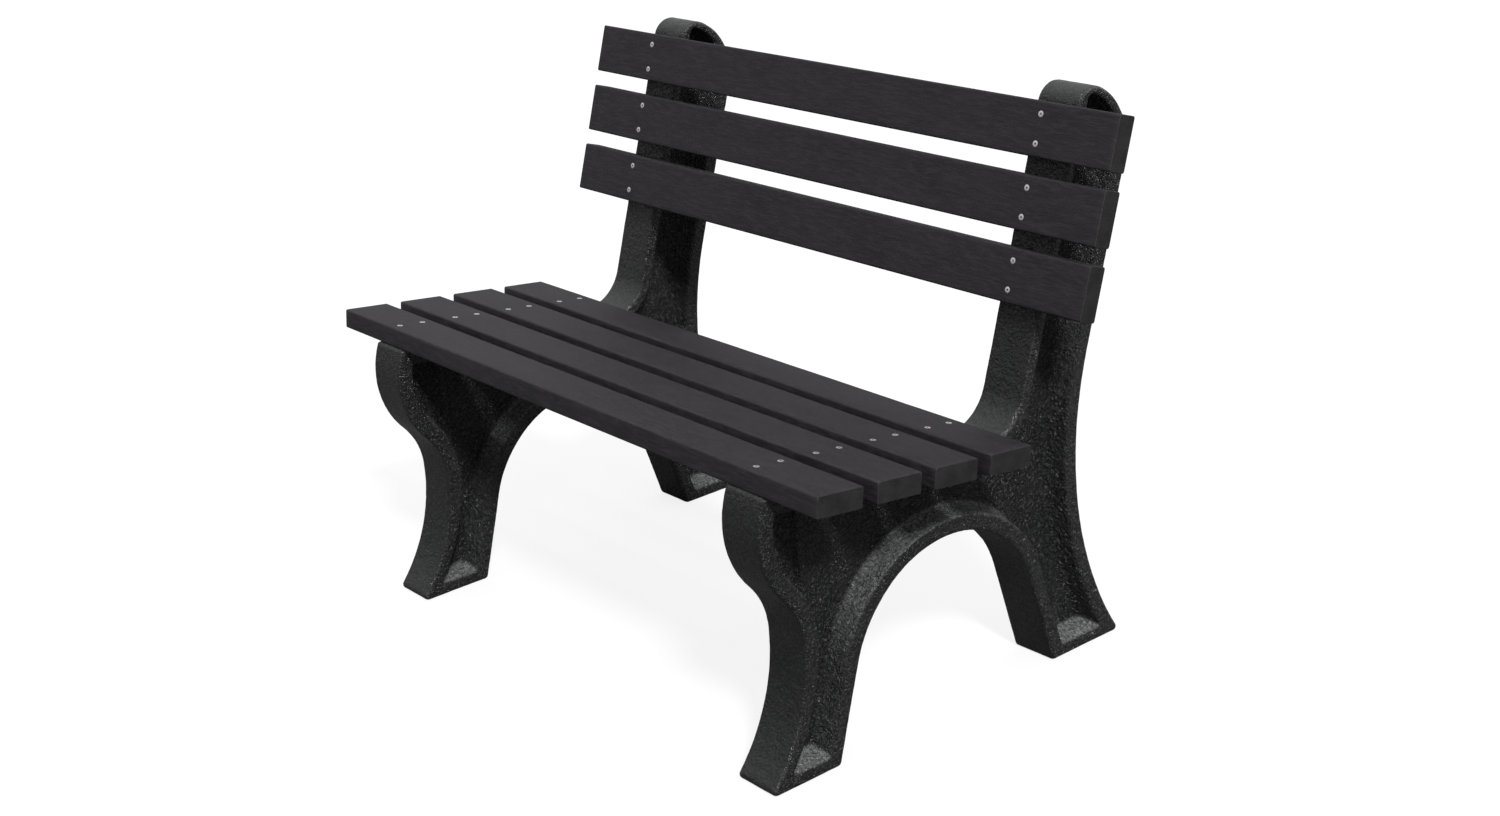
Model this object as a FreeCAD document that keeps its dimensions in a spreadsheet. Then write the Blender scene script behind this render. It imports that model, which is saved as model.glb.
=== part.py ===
"""A slatted park bench with a back: two moulded end frames, seven plank slats and their screws.

Row frame: millimetres, +X along the bench (to the right as seen from the front), +Y from front to
back, +Z up. The origin is on the ground, under the middle of the bench.

Each end frame is one moulding: an outline of lines and arcs, with a draughted recess in both sides
that leaves a rim all round and a thin web in the middle. The seat plane and the back plane are the
visible faces of the slats. They meet in a line called the root, and every slat is placed from it.
"""

import FreeCAD, Part

import math
import os

import Sketcher
from FreeCAD import Placement, Rotation, Vector

DRIVING_SIZES = {
    # slats
    "bench_length": 1219.0,
    "slat_width": 82.0,
    "slat_thickness": 32.0,
    "slat_pitch": 108.0,
    "slat_edge_radius": 3.0,
    "slat_end_bevel": 0.8,
    # seat plane and back plane, in degrees and from the root
    "seat_fall": 6.8,
    "back_lean": 17.0,
    "root_behind": 99.6,
    "root_height": 433.2,
    "seat_reach": 459.0,
    "back_start": 169.3,
    # end frames: places, section and edges
    "frame_spacing": 926.0,
    "frame_depth": 749.0,
    "frame_thickness": 84.0,
    "outline_corner": 7.0,
    "edge_fillet": 7.0,
    "rim_fillet": 4.0,
    "recess_corner": 3.0,
    # recess, level by level: depth under the side face, inset from the outline and from the ground
    "rim_depth": 0.0,
    "rim_inset": 27.0,
    "rim_rise": 22.0,
    "wall_depth": 27.0,
    "wall_inset": 31.0,
    "wall_rise": 29.0,
    "bend_depth": 34.5,
    "bend_inset": 35.0,
    "bend_rise": 32.0,
    "web_depth": 37.5,
    "web_inset": 42.5,
    "web_rise": 36.0,
    "toe_taper": 13.0,
    # where the recess is not inset evenly: it climbs into the head, and the upright's front rim is thin
    "head_climb": 14.0,
    "front_relief": 9.0,
    # outline of the front leg, from the seat down to the toe
    "shoulder_radius": 152.6,
    "shoulder_height": 393.6,
    "waist_radius": 120.0,
    "leg_radius": 300.0,
    "leg_centre_ahead": 603.5,
    "leg_centre_height": 202.6,
    # outline of the arch between the legs
    "arch_height": 287.0,
    "arch_ahead": 20.5,
    "arch_front_radius": 190.0,
    "arch_rear_radius": 181.0,
    "front_leg_lean": 16.0,
    "rear_leg_lean": 17.0,
    # outline of the rear leg, the upright and its head
    "rear_radius": 574.0,
    "rear_centre_height": 322.2,
    "upright_depth": 128.0,
    "head_rear_radius": 100.5,
    "head_front_radius": 36.0,
    "seat_back_radius": 76.0,
    # round bead that stiffens the web behind the shoulder
    "bead_radius": 11.0,
    "bead_ahead": 273.0,
    "bead_bottom": 255.0,
    "bead_top": 430.0,
    # countersunk wood screws
    "screw_spacing": 43.4,
    "screw_head": 9.6,
    "screw_land": 0.2,
    "screw_shank": 4.8,
    "screw_length": 64.0,
    "screw_tip": 6.0,
    "screw_sink": 0.2,
    "screw_clearance": 0.1,
    "drive_width": 2.4,
    "drive_depth": 2.0,
    "drill_overrun": 2.0,
}

SEAT_SLATS = ["seat_slat_1", "seat_slat_2", "seat_slat_3", "seat_slat_4"]
BACK_SLATS = ["back_slat_bottom", "back_slat_middle", "back_slat_top"]
SIDES = {"left": -1, "right": 1}
RECESS_LEVELS = ["rim", "wall", "bend", "web"]
SCREW_HEAD_ANGLE = 90
FULL_TURN = 360
TOLERANCE = 1e-6

UP = Vector(0, 0, 1)
# Turns about X. Only the axis counts: every angle is taken from the sheet.
ABOUT_X = Placement(Vector(), Rotation(Vector(1, 0, 0), 1))

# How a sketch names its origin and the points of its geometry.
ORIGIN = (-1, 1)
X_AXIS = -1
Y_AXIS = -2
START, END, CENTRE = 1, 2, 3

doc = FreeCAD.newDocument("park_bench")
sheet = doc.addObject("Spreadsheet::Sheet", "Sizes")


# ---------------------------------------------------------------- driving sizes


def fill_sheet():
    for row, (name, value) in enumerate(DRIVING_SIZES.items(), start=1):
        sheet.set(f"A{row}", name)
        sheet.set(f"B{row}", str(value))
        sheet.setAlias(f"B{row}", name)
    doc.recompute()


def size(name):
    return float(sheet.get(name))


# ---------------------------------------------------------------- tangent outlines
# An outline is a closed loop of stretches, followed with the solid on its left. A line has a point and
# a heading in degrees. An arc has a centre, a radius and a turn: +1 where it bends left, around the
# solid, and -1 where it bends right and is hollow. Neighbours are always tangent.


def line(point, heading):
    return {"point": point, "heading": heading}


def arc(centre, radius, turn):
    return {"centre": centre, "radius": radius, "turn": turn}


def left_of(heading):
    return Vector(-math.sin(math.radians(heading)), math.cos(math.radians(heading)), 0)


def beside(stretch, distance):
    """The same stretch, moved to its left."""
    if "point" in stretch:
        return line(stretch["point"] + left_of(stretch["heading"]) * distance, stretch["heading"])
    return arc(stretch["centre"], stretch["radius"] - stretch["turn"] * distance, stretch["turn"])


def tangent_line(curve, heading):
    return line(curve["centre"] - left_of(heading) * (curve["turn"] * curve["radius"]), heading)


def crossing(first, second, near):
    """The point nearest to near where two stretches cross, both taken at their full extent."""
    curves = []
    for stretch in (first, second):
        if "point" in stretch:
            ahead = left_of(stretch["heading"] - 90)
            curves.append(Part.Line(stretch["point"], stretch["point"] + ahead))
        else:
            curves.append(Part.Circle(stretch["centre"], UP, stretch["radius"]))
    if isinstance(curves[0], Part.Line):
        curves.reverse()
    points = [Vector(p.X, p.Y, 0) for p in curves[0].intersect(curves[1])]
    return min(points, key=lambda point: point.distanceToPoint(near))


def blend(before, after, radius, turn, near=Vector()):
    """The arc of a given radius that joins two stretches."""
    centre = crossing(beside(before, turn * radius), beside(after, turn * radius), near)
    return arc(centre, radius, turn)


def junction(before, after):
    """The point where two tangent neighbours meet."""
    if "point" in before and "centre" in after:
        before, after = after, before
    if "point" in after:
        side = left_of(after["heading"])
        return before["centre"] + side * side.dot(after["point"] - before["centre"])
    if before["turn"] == after["turn"] and before["radius"] < after["radius"]:
        before, after = after, before
    towards = (after["centre"] - before["centre"]).normalize()
    return before["centre"] + towards * before["radius"]


def frame_loop(level=None):
    """The end frame's outline in its own plane (Y, Z), or the same outline inset for a recess level."""
    if level is None:
        inset = rise = toe_taper = climb = relief = 0
        corner = size("outline_corner")
    else:
        inset = size(f"{level}_inset")
        rise = size(f"{level}_rise")
        toe_taper = size("toe_taper")
        climb = size("head_climb") * math.sin(math.radians(size("back_lean")))
        relief = size("front_relief")
        corner = size("recess_corner")
    front = -size("frame_depth") / 2
    rear = size("frame_depth") / 2
    root = Vector(size("root_behind"), size("root_height"), 0)
    support = size("slat_thickness")
    ground = line(Vector(0, rise, 0), 0)

    arch_arcs = []
    for name in ("arch_front_radius", "arch_rear_radius"):
        centre = Vector(-size("arch_ahead"), size("arch_height") - size(name), 0)
        arch_arcs.append(arc(centre, size(name) + inset, -1))
    arch_front, arch_rear = arch_arcs
    front_leg = tangent_line(arch_front, 90 - size("front_leg_lean"))
    rear_leg = tangent_line(arch_rear, size("rear_leg_lean") - 90)

    upright_heading = 90 - size("back_lean")
    upright_rear = beside(line(root, upright_heading), inset - support - size("upright_depth"))
    upright_front = beside(line(root, upright_heading + 180), support + inset - relief)
    seat = beside(line(root, 180 - size("seat_fall")), support + inset)

    rear_level = line(Vector(0, size("rear_centre_height"), 0), 0)
    rear_radius = size("rear_radius") + inset
    rear_curve = arc(crossing(beside(upright_rear, -rear_radius), rear_level, root), rear_radius, -1)
    head_line = line(Vector(rear - size("head_rear_radius") + climb, 0, 0), 90)
    head_radius = size("head_rear_radius") - inset
    head_rear = arc(crossing(beside(upright_rear, head_radius), head_line, root), head_radius, 1)
    above_head = head_rear["centre"] + Vector(0, size("head_rear_radius"), 0)
    head_front_radius = max(size("head_front_radius") - inset, corner)

    shoulder_centre = Vector(front + size("shoulder_radius"), size("shoulder_height"), 0)
    shoulder = arc(shoulder_centre, size("shoulder_radius") - inset, 1)
    leg_centre = Vector(-size("leg_centre_ahead"), size("leg_centre_height") + toe_taper, 0)
    leg = arc(leg_centre, size("leg_radius") + inset, -1)
    return {
        "front_foot": ground,
        "front_foot_corner": blend(ground, front_leg, corner, 1),
        "front_leg": front_leg,
        "arch_front": arch_front,
        "arch_rear": arch_rear,
        "rear_leg": rear_leg,
        "rear_foot_corner": blend(rear_leg, ground, corner, 1),
        "rear_foot": ground,
        "heel": blend(ground, rear_curve, corner, 1, Vector(rear, 0, 0)),
        "rear_curve": rear_curve,
        "upright_rear": upright_rear,
        "head_rear": head_rear,
        "head_front": blend(head_rear, upright_front, head_front_radius, 1, above_head),
        "upright_front": upright_front,
        "seat_back": blend(upright_front, seat, size("seat_back_radius") + inset, -1),
        "seat": seat,
        "seat_corner": blend(seat, shoulder, corner, 1, Vector(front, root.y, 0)),
        "shoulder": shoulder,
        "waist": blend(shoulder, leg, size("waist_radius") + inset, -1),
        "leg": leg,
        "toe": blend(leg, ground, corner, 1, Vector(front, 0, 0)),
    }


# ---------------------------------------------------------------- sketches


def new_sketch(body, name, plane, offset=Placement()):
    """A sketch on one of the body's own origin planes."""
    sketch = body.newObject("Sketcher::SketchObject", name)
    for feature in body.Origin.OriginFeatures:
        if feature.Role == plane:
            sketch.AttachmentSupport = [(feature, "")]
    sketch.MapMode = "FlatFace"
    sketch.AttachmentOffset = offset
    doc.recompute()
    return sketch


def drawn_value(sketch, kind, elements):
    """What a dimension measures on the geometry as drawn."""
    geometry = sketch.Geometry[elements[0]]
    if kind == "Radius":
        return geometry.Radius
    if kind == "Angle":
        ahead = geometry.EndPoint - geometry.StartPoint
        return math.atan2(ahead.y, ahead.x)
    if kind == "Distance" and len(elements) == 1:
        return geometry.length()
    first = sketch.getPoint(elements[0], elements[1])
    if kind == "Distance":
        datum = sketch.Geometry[elements[2]]
        return first.distanceToLine(datum.StartPoint, datum.EndPoint - datum.StartPoint)
    across = sketch.getPoint(elements[2], elements[3]) - first
    return across.x if kind == "DistanceX" else across.y


def constrain(sketch, kind, *elements, formula=None):
    """Adds one constraint. A dimension starts at its drawn value, then follows a sheet formula."""
    if formula is None:
        sketch.addConstraint(Sketcher.Constraint(kind, *elements))
        return
    drawn = drawn_value(sketch, kind, elements)
    number = sketch.addConstraint(Sketcher.Constraint(kind, *elements, drawn))
    sketch.setExpression(f"Constraints[{number}]", formula)


def draw_loop(sketch, loop):
    """Draws a tangent loop and returns each stretch's geometry number."""
    names = list(loop)
    ends = {}
    numbers = {}
    for place, name in enumerate(names):
        stretch = loop[name]
        start = junction(loop[names[place - 1]], stretch)
        end = junction(stretch, loop[names[(place + 1) % len(names)]])
        if "point" in stretch:
            curve = Part.LineSegment(start, end)
            ends[name] = (START, END)
        else:
            centre = stretch["centre"]
            angles = [math.atan2(point.y - centre.y, point.x - centre.x) for point in (start, end)]
            ends[name] = (START, END)
            if stretch["turn"] < 0:
                angles.reverse()
                ends[name] = (END, START)
            curve = Part.ArcOfCircle(Part.Circle(centre, UP, stretch["radius"]), *angles)
        numbers[name] = sketch.addGeometry(curve, False)
    for place, name in enumerate(names):
        before = names[place - 1]
        constrain(sketch, "Tangent", numbers[before], ends[before][1], numbers[name], ends[name][0])
    return numbers


def draw_polygon(sketch, corners):
    """Draws a closed chain of straight edges, one from each corner, and joins their ends."""
    edges = []
    for corner, following in zip(corners, corners[1:] + corners[:1]):
        edges.append(sketch.addGeometry(Part.LineSegment(corner, following), False))
    for edge, following in zip(edges, edges[1:] + edges[:1]):
        constrain(sketch, "Coincident", edge, END, following, START)
    return edges


def draw_datum(sketch, heading, heading_formula):
    """A construction line from the root, standing for the seat plane or the back plane."""
    root = Vector(size("root_behind"), size("root_height"), 0)
    ahead = left_of(heading - 90)
    datum = sketch.addGeometry(Part.LineSegment(root, root + ahead * size("slat_width")), True)
    constrain(sketch, "DistanceX", *ORIGIN, datum, START, formula="Sizes.root_behind")
    constrain(sketch, "DistanceY", *ORIGIN, datum, START, formula="Sizes.root_height")
    constrain(sketch, "Distance", datum, formula="Sizes.slat_width")
    constrain(sketch, "Angle", datum, formula=heading_formula)
    return datum


def frame_sketch(body, name, level=None):
    """The outline of the end frame, or one level of its recess, fully constrained from the sheet."""
    sketch = new_sketch(body, name, "YZ_Plane")
    inset = taper = climb = relief = "0"
    corner = "Sizes.outline_corner"
    if level is not None:
        inset = f"Sizes.{level}_inset"
        taper = "Sizes.toe_taper"
        climb = "Sizes.head_climb * sin(Sizes.back_lean * 1 deg)"
        relief = "Sizes.front_relief"
        corner = "Sizes.recess_corner"
        depth = f"Sizes.{level}_depth"
        sketch.setExpression("AttachmentOffset.Base.z", f"Sizes.frame_thickness / 2 - {depth}")
    part = draw_loop(sketch, frame_loop(level))

    radii = {
        "arch_front": f"Sizes.arch_front_radius + {inset}",
        "arch_rear": f"Sizes.arch_rear_radius + {inset}",
        "rear_curve": f"Sizes.rear_radius + {inset}",
        "head_rear": f"Sizes.head_rear_radius - {inset}",
        "head_front": f"max(Sizes.head_front_radius - {inset}; {corner})",
        "seat_back": f"Sizes.seat_back_radius + {inset}",
        "shoulder": f"Sizes.shoulder_radius - {inset}",
        "waist": f"Sizes.waist_radius + {inset}",
        "leg": f"Sizes.leg_radius + {inset}",
    }
    for name in ("front_foot_corner", "rear_foot_corner", "heel", "seat_corner", "toe"):
        radii[name] = corner
    for name, formula in radii.items():
        constrain(sketch, "Radius", part[name], formula=formula)

    for foot in ("front_foot", "rear_foot"):
        constrain(sketch, "Horizontal", part[foot])
        if level is None:
            constrain(sketch, "PointOnObject", part[foot], START, X_AXIS)
        else:
            constrain(sketch, "DistanceY", *ORIGIN, part[foot], START, formula=f"Sizes.{level}_rise")

    half_depth = "Sizes.frame_depth / 2"
    ahead_of_middle = {
        "shoulder": f"{half_depth} - Sizes.shoulder_radius",
        "leg": "Sizes.leg_centre_ahead",
        "arch_front": "Sizes.arch_ahead",
    }
    for name, formula in ahead_of_middle.items():
        constrain(sketch, "DistanceX", part[name], CENTRE, *ORIGIN, formula=formula)
    head_behind = f"{half_depth} - Sizes.head_rear_radius + {climb}"
    constrain(sketch, "DistanceX", *ORIGIN, part["head_rear"], CENTRE, formula=head_behind)
    above_ground = {
        "shoulder": "Sizes.shoulder_height",
        "leg": f"Sizes.leg_centre_height + {taper}",
        "arch_front": "Sizes.arch_height - Sizes.arch_front_radius",
        "rear_curve": "Sizes.rear_centre_height",
    }
    for name, formula in above_ground.items():
        constrain(sketch, "DistanceY", *ORIGIN, part[name], CENTRE, formula=formula)
    constrain(sketch, "Vertical", part["arch_front"], CENTRE, part["arch_rear"], CENTRE)
    constrain(sketch, "Angle", part["front_leg"], formula="(90 - Sizes.front_leg_lean) * 1 deg")
    constrain(sketch, "Angle", part["rear_leg"], formula="(Sizes.rear_leg_lean - 90) * 1 deg")

    seat_heading = 180 - size("seat_fall")
    seat_datum = draw_datum(sketch, seat_heading, "(180 - Sizes.seat_fall) * 1 deg")
    back_heading = 90 - size("back_lean")
    back_datum = draw_datum(sketch, back_heading, "(90 - Sizes.back_lean) * 1 deg")
    behind_planes = {
        "seat": (seat_datum, f"Sizes.slat_thickness + {inset}"),
        "upright_front": (back_datum, f"Sizes.slat_thickness + {inset} - {relief}"),
        "upright_rear": (back_datum, f"Sizes.slat_thickness + Sizes.upright_depth - {inset}"),
    }
    for name, (datum, formula) in behind_planes.items():
        constrain(sketch, "Parallel", datum, part[name])
        constrain(sketch, "Distance", part[name], START, datum, formula=formula)
    return sketch


# ---------------------------------------------------------------- features


def pad(body, sketch, length_formula):
    """Extrudes a sketch to both sides of its plane."""
    feature = body.newObject("PartDesign::Pad", "Pad")
    feature.Profile = sketch
    feature.Midplane = True
    feature.setExpression("Length", length_formula)
    doc.recompute()
    return feature


def dress(body, kind, base, edges, size_property, formula):
    """A fillet or a chamfer on chosen edges of the base feature."""
    names = []
    for number, candidate in enumerate(base.Shape.Edges, start=1):
        if any(candidate.isSame(edge) for edge in edges):
            names.append(f"Edge{number}")
    feature = body.newObject(f"PartDesign::{kind}", kind)
    feature.Base = (base, names)
    feature.setExpression(size_property, formula)
    doc.recompute()
    return feature


def side_faces(shape, distance):
    """The flat faces that look along X at a distance from the middle plane, on both sides."""
    found = []
    for face in shape.Faces:
        box = face.BoundBox
        if box.XLength < TOLERANCE and abs(abs(box.XMin) - distance) < TOLERANCE:
            found.append(face)
    return found


def drill(body, name, sketch, depth_formula, countersunk):
    """Round holes at the sketch's circles, into the solid from the sketch's plane."""
    hole = body.newObject("PartDesign::Hole", name)
    hole.Profile = sketch
    hole.DepthType = "Dimension"
    hole.DrillPoint = "Flat"
    hole.setExpression("Diameter", "Sizes.screw_shank + 2 * Sizes.screw_clearance")
    hole.setExpression("Depth", depth_formula)
    if countersunk:
        around_head = "2 * (Sizes.screw_clearance + Sizes.screw_sink + Sizes.screw_land)"
        hole.HoleCutType = "Countersink"
        hole.HoleCutCustomValues = True
        hole.setExpression("HoleCutDiameter", f"Sizes.screw_head + {around_head}")
        hole.HoleCutCountersinkAngle = SCREW_HEAD_ANGLE
    doc.recompute()
    return hole


def screw_circles(sketch, places):
    """One circle for each place, given as two formulas: along the bench and across the slats."""
    for along, across in places:
        circle = sketch.addGeometry(Part.Circle(Vector(), UP, size("screw_shank") / 2), False)
        constrain(sketch, "Radius", circle, formula="Sizes.screw_shank / 2")
        constrain(sketch, "DistanceX", *ORIGIN, circle, CENTRE, formula=along)
        constrain(sketch, "DistanceY", *ORIGIN, circle, CENTRE, formula=across)


# ---------------------------------------------------------------- end frames


def slat_start(kind, number):
    """A slat's first edge along its plane from the root: negative in front, positive above."""
    if kind == "seat":
        return f"{number} * Sizes.slat_pitch - Sizes.seat_reach"
    return f"{number} * Sizes.slat_pitch + Sizes.back_start"


def screw_offsets(kind, number):
    """Where the two screws of a slat stand, measured along the slats' plane from the root."""
    middle = f"{slat_start(kind, number)} + Sizes.slat_width / 2"
    return [f"{middle} - Sizes.screw_spacing / 2", f"{middle} + Sizes.screw_spacing / 2"]


def plane_angle(kind):
    """How far the slats' plane is turned about X from level, as a formula."""
    if kind == "seat":
        return "(-Sizes.seat_fall * 1 deg)"
    return "((90 - Sizes.back_lean) * 1 deg)"


def pilot_holes(body, kind, count):
    """Holes for the screws of one row of slats, square to the face that the slats rest on."""
    sketch = new_sketch(body, f"{kind}_screws", "XY_Plane", ABOUT_X)
    angle = plane_angle(kind)
    behind_root = f"Sizes.root_behind + Sizes.slat_thickness * sin{angle}"
    below_root = f"Sizes.root_height - Sizes.slat_thickness * cos{angle}"
    sketch.setExpression("AttachmentOffset.Base.y", behind_root)
    sketch.setExpression("AttachmentOffset.Base.z", below_root)
    sketch.setExpression("AttachmentOffset.Rotation.Angle", angle)
    places = [("0", offset) for number in range(count) for offset in screw_offsets(kind, number)]
    screw_circles(sketch, places)
    doc.recompute()
    depth = "Sizes.screw_length - Sizes.slat_thickness + Sizes.drill_overrun"
    return drill(body, f"{kind}_pilots", sketch, depth, False)


def end_frame(name):
    body = doc.addObject("PartDesign::Body", name)
    blank = pad(body, frame_sketch(body, "outline"), "Sizes.frame_thickness")

    levels = [frame_sketch(body, f"{level}_level", level) for level in RECESS_LEVELS]
    doc.recompute()
    recess = body.newObject("PartDesign::SubtractiveLoft", "recess")
    recess.Profile = levels[0]
    recess.Sections = levels[1:]
    recess.Ruled = False
    doc.recompute()
    far_recess = body.newObject("PartDesign::Mirrored", "far_recess")
    far_recess.Originals = [recess]
    far_recess.MirrorPlane = (levels[0].AttachmentSupport[0][0], [""])
    body.Tip = far_recess
    doc.recompute()

    sides = side_faces(far_recess.Shape, size("frame_thickness") / 2)
    outer_edges = [edge for face in sides for edge in face.OuterWire.Edges]
    rounded = dress(body, "Fillet", far_recess, outer_edges, "Radius", "Sizes.edge_fillet")
    inner_edges = []
    for face in side_faces(rounded.Shape, size("frame_thickness") / 2):
        inner_wires = [wire for wire in face.Wires if not wire.isSame(face.OuterWire)]
        inner_edges += [edge for wire in inner_wires for edge in wire.Edges]
    dress(body, "Fillet", rounded, inner_edges, "Radius", "Sizes.rim_fillet")

    stiffening_bead(body)
    pilot_holes(body, "seat", len(SEAT_SLATS))
    pilot_holes(body, "back", len(BACK_SLATS))
    return body


def stiffening_bead(body):
    """A round-ended upright bar buried in the web, which shows as a bead on both sides of it."""
    sketch = new_sketch(body, "bead_profile", "YZ_Plane")
    axis = -size("bead_ahead")
    radius = size("bead_radius")
    bottom = size("bead_bottom")
    top = size("bead_top")
    corners = [
        Vector(axis, bottom - radius),
        Vector(axis, top),
        Vector(axis + radius, top),
        Vector(axis + radius, bottom),
    ]
    sides = []
    for first, second in zip(corners, corners[1:]):
        sides.append(sketch.addGeometry(Part.LineSegment(first, second), False))
    round_end = Part.ArcOfCircle(Part.Circle(Vector(axis, bottom), UP, radius), -math.pi / 2, 0)
    arc_end = sketch.addGeometry(round_end, False)
    constrain(sketch, "Coincident", sides[0], END, sides[1], START)
    constrain(sketch, "Coincident", sides[1], END, sides[2], START)
    constrain(sketch, "Coincident", sides[0], START, arc_end, START)
    constrain(sketch, "Tangent", sides[2], END, arc_end, END)
    constrain(sketch, "Vertical", sides[0])
    constrain(sketch, "Horizontal", sides[1])
    constrain(sketch, "Vertical", sides[2])
    constrain(sketch, "PointOnObject", arc_end, CENTRE, sides[0])
    constrain(sketch, "Radius", arc_end, formula="Sizes.bead_radius")
    constrain(sketch, "DistanceX", arc_end, CENTRE, *ORIGIN, formula="Sizes.bead_ahead")
    constrain(sketch, "DistanceY", *ORIGIN, arc_end, CENTRE, formula="Sizes.bead_bottom")
    constrain(sketch, "DistanceY", *ORIGIN, sides[0], END, formula="Sizes.bead_top")
    bead = body.newObject("PartDesign::Revolution", "bead")
    bead.Profile = sketch
    bead.ReferenceAxis = (sketch, ["Edge1"])
    bead.Angle = FULL_TURN
    doc.recompute()
    return bead


# ---------------------------------------------------------------- slats and screws


def place_on_plane(body, kind, offset_formula):
    """Puts a body on the seat plane or the back plane, at an offset from the root along that plane."""
    angle = plane_angle(kind)
    body.Placement = ABOUT_X
    body.setExpression("Placement.Rotation.Angle", angle)
    body.setExpression("Placement.Base.y", f"Sizes.root_behind + ({offset_formula}) * cos{angle}")
    body.setExpression("Placement.Base.z", f"Sizes.root_height + ({offset_formula}) * sin{angle}")


def slat(name, kind, number):
    """A plank with its visible face on its own XY plane and its first edge on the X axis."""
    body = doc.addObject("PartDesign::Body", name)
    sketch = new_sketch(body, "cross_section", "YZ_Plane")
    width = size("slat_width")
    thickness = size("slat_thickness")
    corners = [Vector(0, 0), Vector(0, -thickness), Vector(width, -thickness), Vector(width, 0)]
    front, under, behind, _ = draw_polygon(sketch, corners)
    constrain(sketch, "Vertical", front)
    constrain(sketch, "Horizontal", under)
    constrain(sketch, "Vertical", behind)
    constrain(sketch, "Equal", front, behind)
    constrain(sketch, "Coincident", front, START, *ORIGIN)
    constrain(sketch, "DistanceX", under, START, under, END, formula="Sizes.slat_width")
    constrain(sketch, "DistanceY", front, END, front, START, formula="Sizes.slat_thickness")
    plank = pad(body, sketch, "Sizes.bench_length")

    long_edges = [edge for edge in plank.Shape.Edges if edge.BoundBox.XLength > width]
    eased = dress(body, "Fillet", plank, long_edges, "Radius", "Sizes.slat_edge_radius")
    end_edges = []
    for face in side_faces(eased.Shape, size("bench_length") / 2):
        end_edges += face.Edges
    dress(body, "Chamfer", eased, end_edges, "Size", "Sizes.slat_end_bevel")

    holes = new_sketch(body, "screw_holes", "XY_Plane")
    places = []
    for sign in SIDES.values():
        for step in (-1, 1):
            across = f"Sizes.slat_width / 2 + {step} * Sizes.screw_spacing / 2"
            places.append((f"{sign} * Sizes.frame_spacing / 2", across))
    screw_circles(holes, places)
    doc.recompute()
    drill(body, "screw_clearance", holes, "Sizes.slat_thickness + Sizes.drill_overrun", True)
    place_on_plane(body, kind, slat_start(kind, number))
    return body


def screw_pair(name, kind, number, side):
    """Two countersunk screws, heads just under the slat's face, the first on the body's own Z axis."""
    body = doc.addObject("PartDesign::Body", name)
    sketch = new_sketch(body, "half_profile", "XZ_Plane")
    head = size("screw_head") / 2
    shank = size("screw_shank") / 2
    top = -size("screw_sink")
    land = top - size("screw_land")
    end = -size("screw_length")
    points = [
        Vector(0, top),
        Vector(0, end),
        Vector(shank, end + size("screw_tip")),
        Vector(shank, land - head + shank),
        Vector(head, land),
        Vector(head, top),
    ]
    axis, point_cone, shank_side, head_cone, land_side, head_top = draw_polygon(sketch, points)
    constrain(sketch, "PointOnObject", axis, START, Y_AXIS)
    for upright in (axis, shank_side, land_side):
        constrain(sketch, "Vertical", upright)
    constrain(sketch, "Horizontal", head_top)
    constrain(sketch, "DistanceX", *ORIGIN, shank_side, START, formula="Sizes.screw_shank / 2")
    constrain(sketch, "DistanceX", *ORIGIN, land_side, START, formula="Sizes.screw_head / 2")
    constrain(sketch, "DistanceY", axis, START, *ORIGIN, formula="Sizes.screw_sink")
    constrain(sketch, "DistanceY", axis, END, *ORIGIN, formula="Sizes.screw_length")
    constrain(sketch, "DistanceY", point_cone, START, point_cone, END, formula="Sizes.screw_tip")
    constrain(sketch, "DistanceY", land_side, START, land_side, END, formula="Sizes.screw_land")
    head_drop = "(Sizes.screw_head - Sizes.screw_shank) / 2"
    constrain(sketch, "DistanceY", head_cone, START, head_cone, END, formula=head_drop)
    turned = body.newObject("PartDesign::Revolution", "turned")
    turned.Profile = sketch
    turned.ReferenceAxis = (sketch, ["V_Axis"])
    turned.Angle = FULL_TURN
    doc.recompute()

    drive = new_sketch(body, "square_drive", "XY_Plane")
    drive.setExpression("AttachmentOffset.Base.z", "-Sizes.screw_sink")
    half = size("drive_width") / 2
    corners = [Vector(-half, -half), Vector(half, -half), Vector(half, half), Vector(-half, half)]
    near, right, far, left = draw_polygon(drive, corners)
    for edge in (near, far):
        constrain(drive, "Horizontal", edge)
    for edge in (right, left):
        constrain(drive, "Vertical", edge)
    constrain(drive, "Symmetric", near, START, far, START, *ORIGIN)
    constrain(drive, "DistanceX", near, START, near, END, formula="Sizes.drive_width")
    constrain(drive, "DistanceY", right, START, right, END, formula="Sizes.drive_width")
    doc.recompute()
    socket = body.newObject("PartDesign::Pocket", "socket")
    socket.Profile = drive
    socket.setExpression("Length", "Sizes.drive_depth")
    doc.recompute()

    pair = body.newObject("PartDesign::LinearPattern", "pair")
    pair.Originals = [turned, socket]
    pair.Direction = (drive, ["V_Axis"])
    pair.Occurrences = 2
    pair.setExpression("Length", "Sizes.screw_spacing")
    body.Tip = pair
    doc.recompute()

    place_on_plane(body, kind, screw_offsets(kind, number)[0])
    body.setExpression("Placement.Base.x", f"{SIDES[side]} * Sizes.frame_spacing / 2")
    return body


# ---------------------------------------------------------------- the bench


def build():
    fill_sheet()
    for side, sign in SIDES.items():
        frame = end_frame(f"end_frame_{side}")
        frame.setExpression("Placement.Base.x", f"{sign} * Sizes.frame_spacing / 2")
    for kind, names in (("seat", SEAT_SLATS), ("back", BACK_SLATS)):
        for number, name in enumerate(names):
            slat(name, kind, number)
            for side in SIDES:
                screw_pair(f"{name}_screws_{side}", kind, number, side)
    doc.recompute()


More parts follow.
